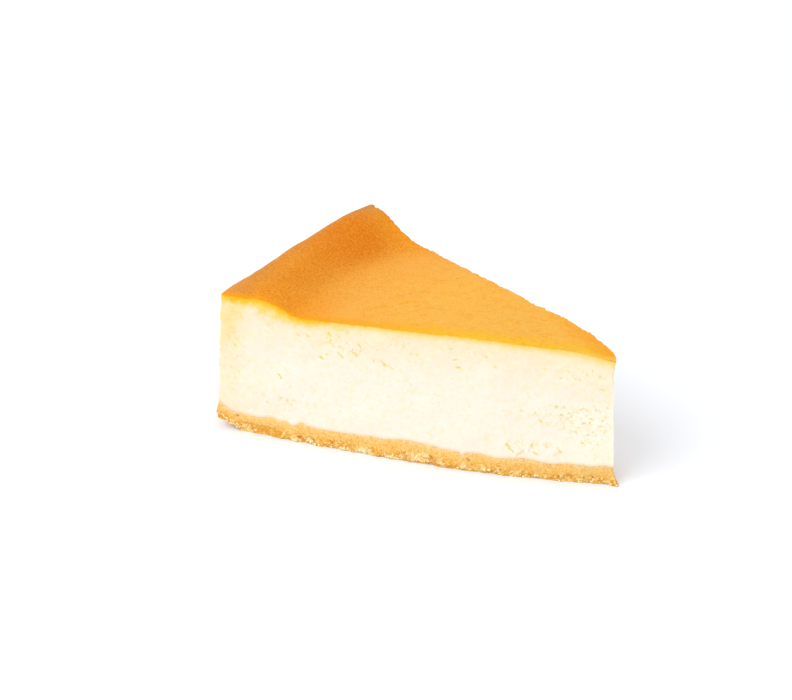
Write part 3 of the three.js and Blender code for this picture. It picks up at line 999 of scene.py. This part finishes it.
def crumbPlaces(draw):
    # shares along, across and up, and 2 for those on a flake
    rows = []
    for side, count in enumerate(crumbs["counts"]):
        for i in range(count):
            run = draw.random()
            up = min(abs(draw.gauss(0, crumbs["climb"])), crumbs["climbMost"])
            rows.append((run, side, up, 1.0) if side < 2 else (0.0, run, up, 1.0))
    few, more = crumbs["onFlake"]
    spreadWide, spreadTall = crumbs["flakeSpread"]
    for s, z, wide, tall, strength in base["flakes"]:
        for i in range(round(few + more * wide)):
            run = 1 - (s + draw.gauss(0, wide * spreadWide)) / cutLength
            up = (z + draw.gauss(0, tall * spreadTall)) / form["baseHeight"]
            rows.append((min(max(run, 0), 1), 0, min(max(up, 0), crumbs["flakeClimbMost"]), 2.0))
    rows = np.array(rows)
    onSides = np.column_stack((rows[:, 0] * 120, rows[:, 1] * 70, rows[:, 2] * 0))
    patches = roughness(onSides, crumbs["patchSize"], 2, seed=13)
    return rows[(patches > crumbs["patch"]) | (rows[:, 3] > 1.5)]


def shapeCrumbs():
    draw = random.Random(crumbs["seed"])
    rows = crumbPlaces(draw)
    places = baseSkin(rows[:, 0], rows[:, 1], rows[:, 2])[0]
    outs = outwardWays(rows[:, 0], rows[:, 1])
    outs /= column(np.linalg.norm(outs, axis=1))
    bm = bmesh.new()
    for place, out, chosen in zip(places, outs, rows[:, 3]):
        size = between(crumbs["size"], draw.random() ** (crumbs["smallness"] / chosen))
        spot = Vector((*(place[:2] - out * size * crumbs["sink"]), max(place[2], size * crumbs["lift"])))
        turn = Quaternion([draw.gauss(0, 1) for k in range(4)]).normalized()
        wide, tall = draw.uniform(*crumbs["wide"]), draw.uniform(*crumbs["tall"])
        stretch = Matrix.Diagonal((size, size * wide, size * tall, 1))
        matrix = Matrix.Scale(mm, 4) @ Matrix.Translation(spot) @ turn.to_matrix().to_4x4() @ stretch
        made = bmesh.ops.create_icosphere(bm, subdivisions=1, radius=0.55, matrix=matrix)["verts"]
        for v in made:
            v.co += Vector([draw.gauss(0, 1) for k in range(3)]) * size * crumbs["dent"] * mm
    for v in bm.verts:
        v.co.z = max(v.co.z, 0)
    return bm


def crumbFinish():
    f = Finish("looseCrumb", Subsurface_Weight=0.1, Subsurface_Scale=0.001, Specular_IOR_Level=0.15)
    tone = f.noise(1.6, 3)
    color = f.ramp(tone, 1, [
        (0.32, seen(250, 198, 100)),
        (0.44, seen(255, 229, 160)),
        (0.56, seen(255, 244, 202)),
    ])
    return f.finish(Base_Color=color, Roughness=0.75 + tone * 0.15, Normal=f.bump(f.noise(0.4, 4), 0.1))


makePiece("edge_crumbs", shapeCrumbs(), crumbFinish(), sharpAngle=30)

# Dark baked specks on the top
specks = dict(
    # Shares along the slice and across it, and the width in millimetres
    places=[
        (0.303, 0.453, 0.42), (0.383, 0.513, 0.36), (0.416, 0.852, 0.42), (0.17, 0.593, 0.36),
        (0.76, 0.5, 0.26), (0.58, 0.75, 0.26),
    ],
    narrow=(0.7, 1),
    flat=0.5,
    seed=3,
)


def shapeSpecks():
    draw = random.Random(specks["seed"])
    along, across, width = np.array(specks["places"]).T
    plan = planPlaces(along, across)
    bm = bmesh.new()
    for xy, z, size in zip(plan, topHeights(plan, across), width):
        flatten = Matrix.Diagonal((size, size * draw.uniform(*specks["narrow"]), size * specks["flat"], 1))
        matrix = Matrix.Scale(mm, 4) @ Matrix.Translation((*xy, z)) @ flatten
        bmesh.ops.create_icosphere(bm, subdivisions=2, radius=0.5, matrix=matrix)
    return bm


def speckFinish():
    f = Finish("bakedSpeck", Specular_IOR_Level=0.3)
    color = f.mix(f.noise(0.3, 3), seen(120, 62, 16), seen(168, 96, 34))
    return f.finish(Base_Color=color, Roughness=0.7 + f.noise(0.2, 2) * 0.2)


makePiece("baked_specks", shapeSpecks(), speckFinish())

# Floor, light and camera
studio = dict(
    floorSize=6.0,
    floorColor=(0.87, 0.885, 0.93, 1),
    floorRoughness=0.6,
    sky=0.97,
    keyPlace=(-0.35, -0.95, 1.05),
    keySize=1.2,
    keyPower=10.0,
    cameraPlace=(0.3232, -0.5209, 0.3488),
    cameraAzimuth=33.085,
    cameraElevation=27.972,
    cameraRoll=-0.183,
    lens=115.49,
    clipStart=0.05,
)


def makeStudio():
    bm = bmesh.new()
    bmesh.ops.create_grid(bm, x_segments=1, y_segments=1, size=studio["floorSize"] / 2)
    mesh = bpy.data.meshes.new("floor")
    bm.to_mesh(mesh)
    bm.free()
    f = Finish("paleFloor", Specular_IOR_Level=0.2)
    mesh.materials.append(f.finish(Base_Color=studio["floorColor"], Roughness=studio["floorRoughness"]))
    floor = bpy.data.objects.new("floor", mesh)
    bpy.context.scene.collection.objects.link(floor)

    world = bpy.data.worlds.new("studio")
    world.use_nodes = True
    sky = world.node_tree.nodes["Background"]
    sky.inputs["Color"].default_value = (1, 1, 1, 1)
    sky.inputs["Strength"].default_value = studio["sky"]
    bpy.context.scene.world = world

    light = bpy.data.lights.new("key", "AREA")
    light.shape = "DISK"
    light.size = studio["keySize"]
    light.energy = studio["keyPower"]
    key = bpy.data.objects.new("key", light)
    key.location = studio["keyPlace"]
    key.rotation_euler = (-Vector(studio["keyPlace"])).to_track_quat("-Z", "Y").to_euler()
    bpy.context.scene.collection.objects.link(key)


def makeCamera():
    azimuth = math.radians(studio["cameraAzimuth"])
    elevation = math.radians(studio["cameraElevation"])
    level = Vector((math.sin(azimuth), -math.cos(azimuth), 0)) * math.cos(elevation)
    back = level + Vector((0, 0, math.sin(elevation)))
    turn = (-back).to_track_quat("-Z", "Y") @ Quaternion((0, 0, 1), math.radians(studio["cameraRoll"]))
    camera = bpy.data.objects.new("camera", bpy.data.cameras.new("camera"))
    camera.data.lens = studio["lens"]
    camera.data.clip_start = studio["clipStart"]
    camera.location = studio["cameraPlace"]
    camera.rotation_euler = turn.to_euler()
    bpy.context.scene.collection.objects.link(camera)
    bpy.context.scene.camera = camera
    bpy.context.scene.view_settings.view_transform = "Standard"


makeStudio()
makeCamera()
print("studio ready")
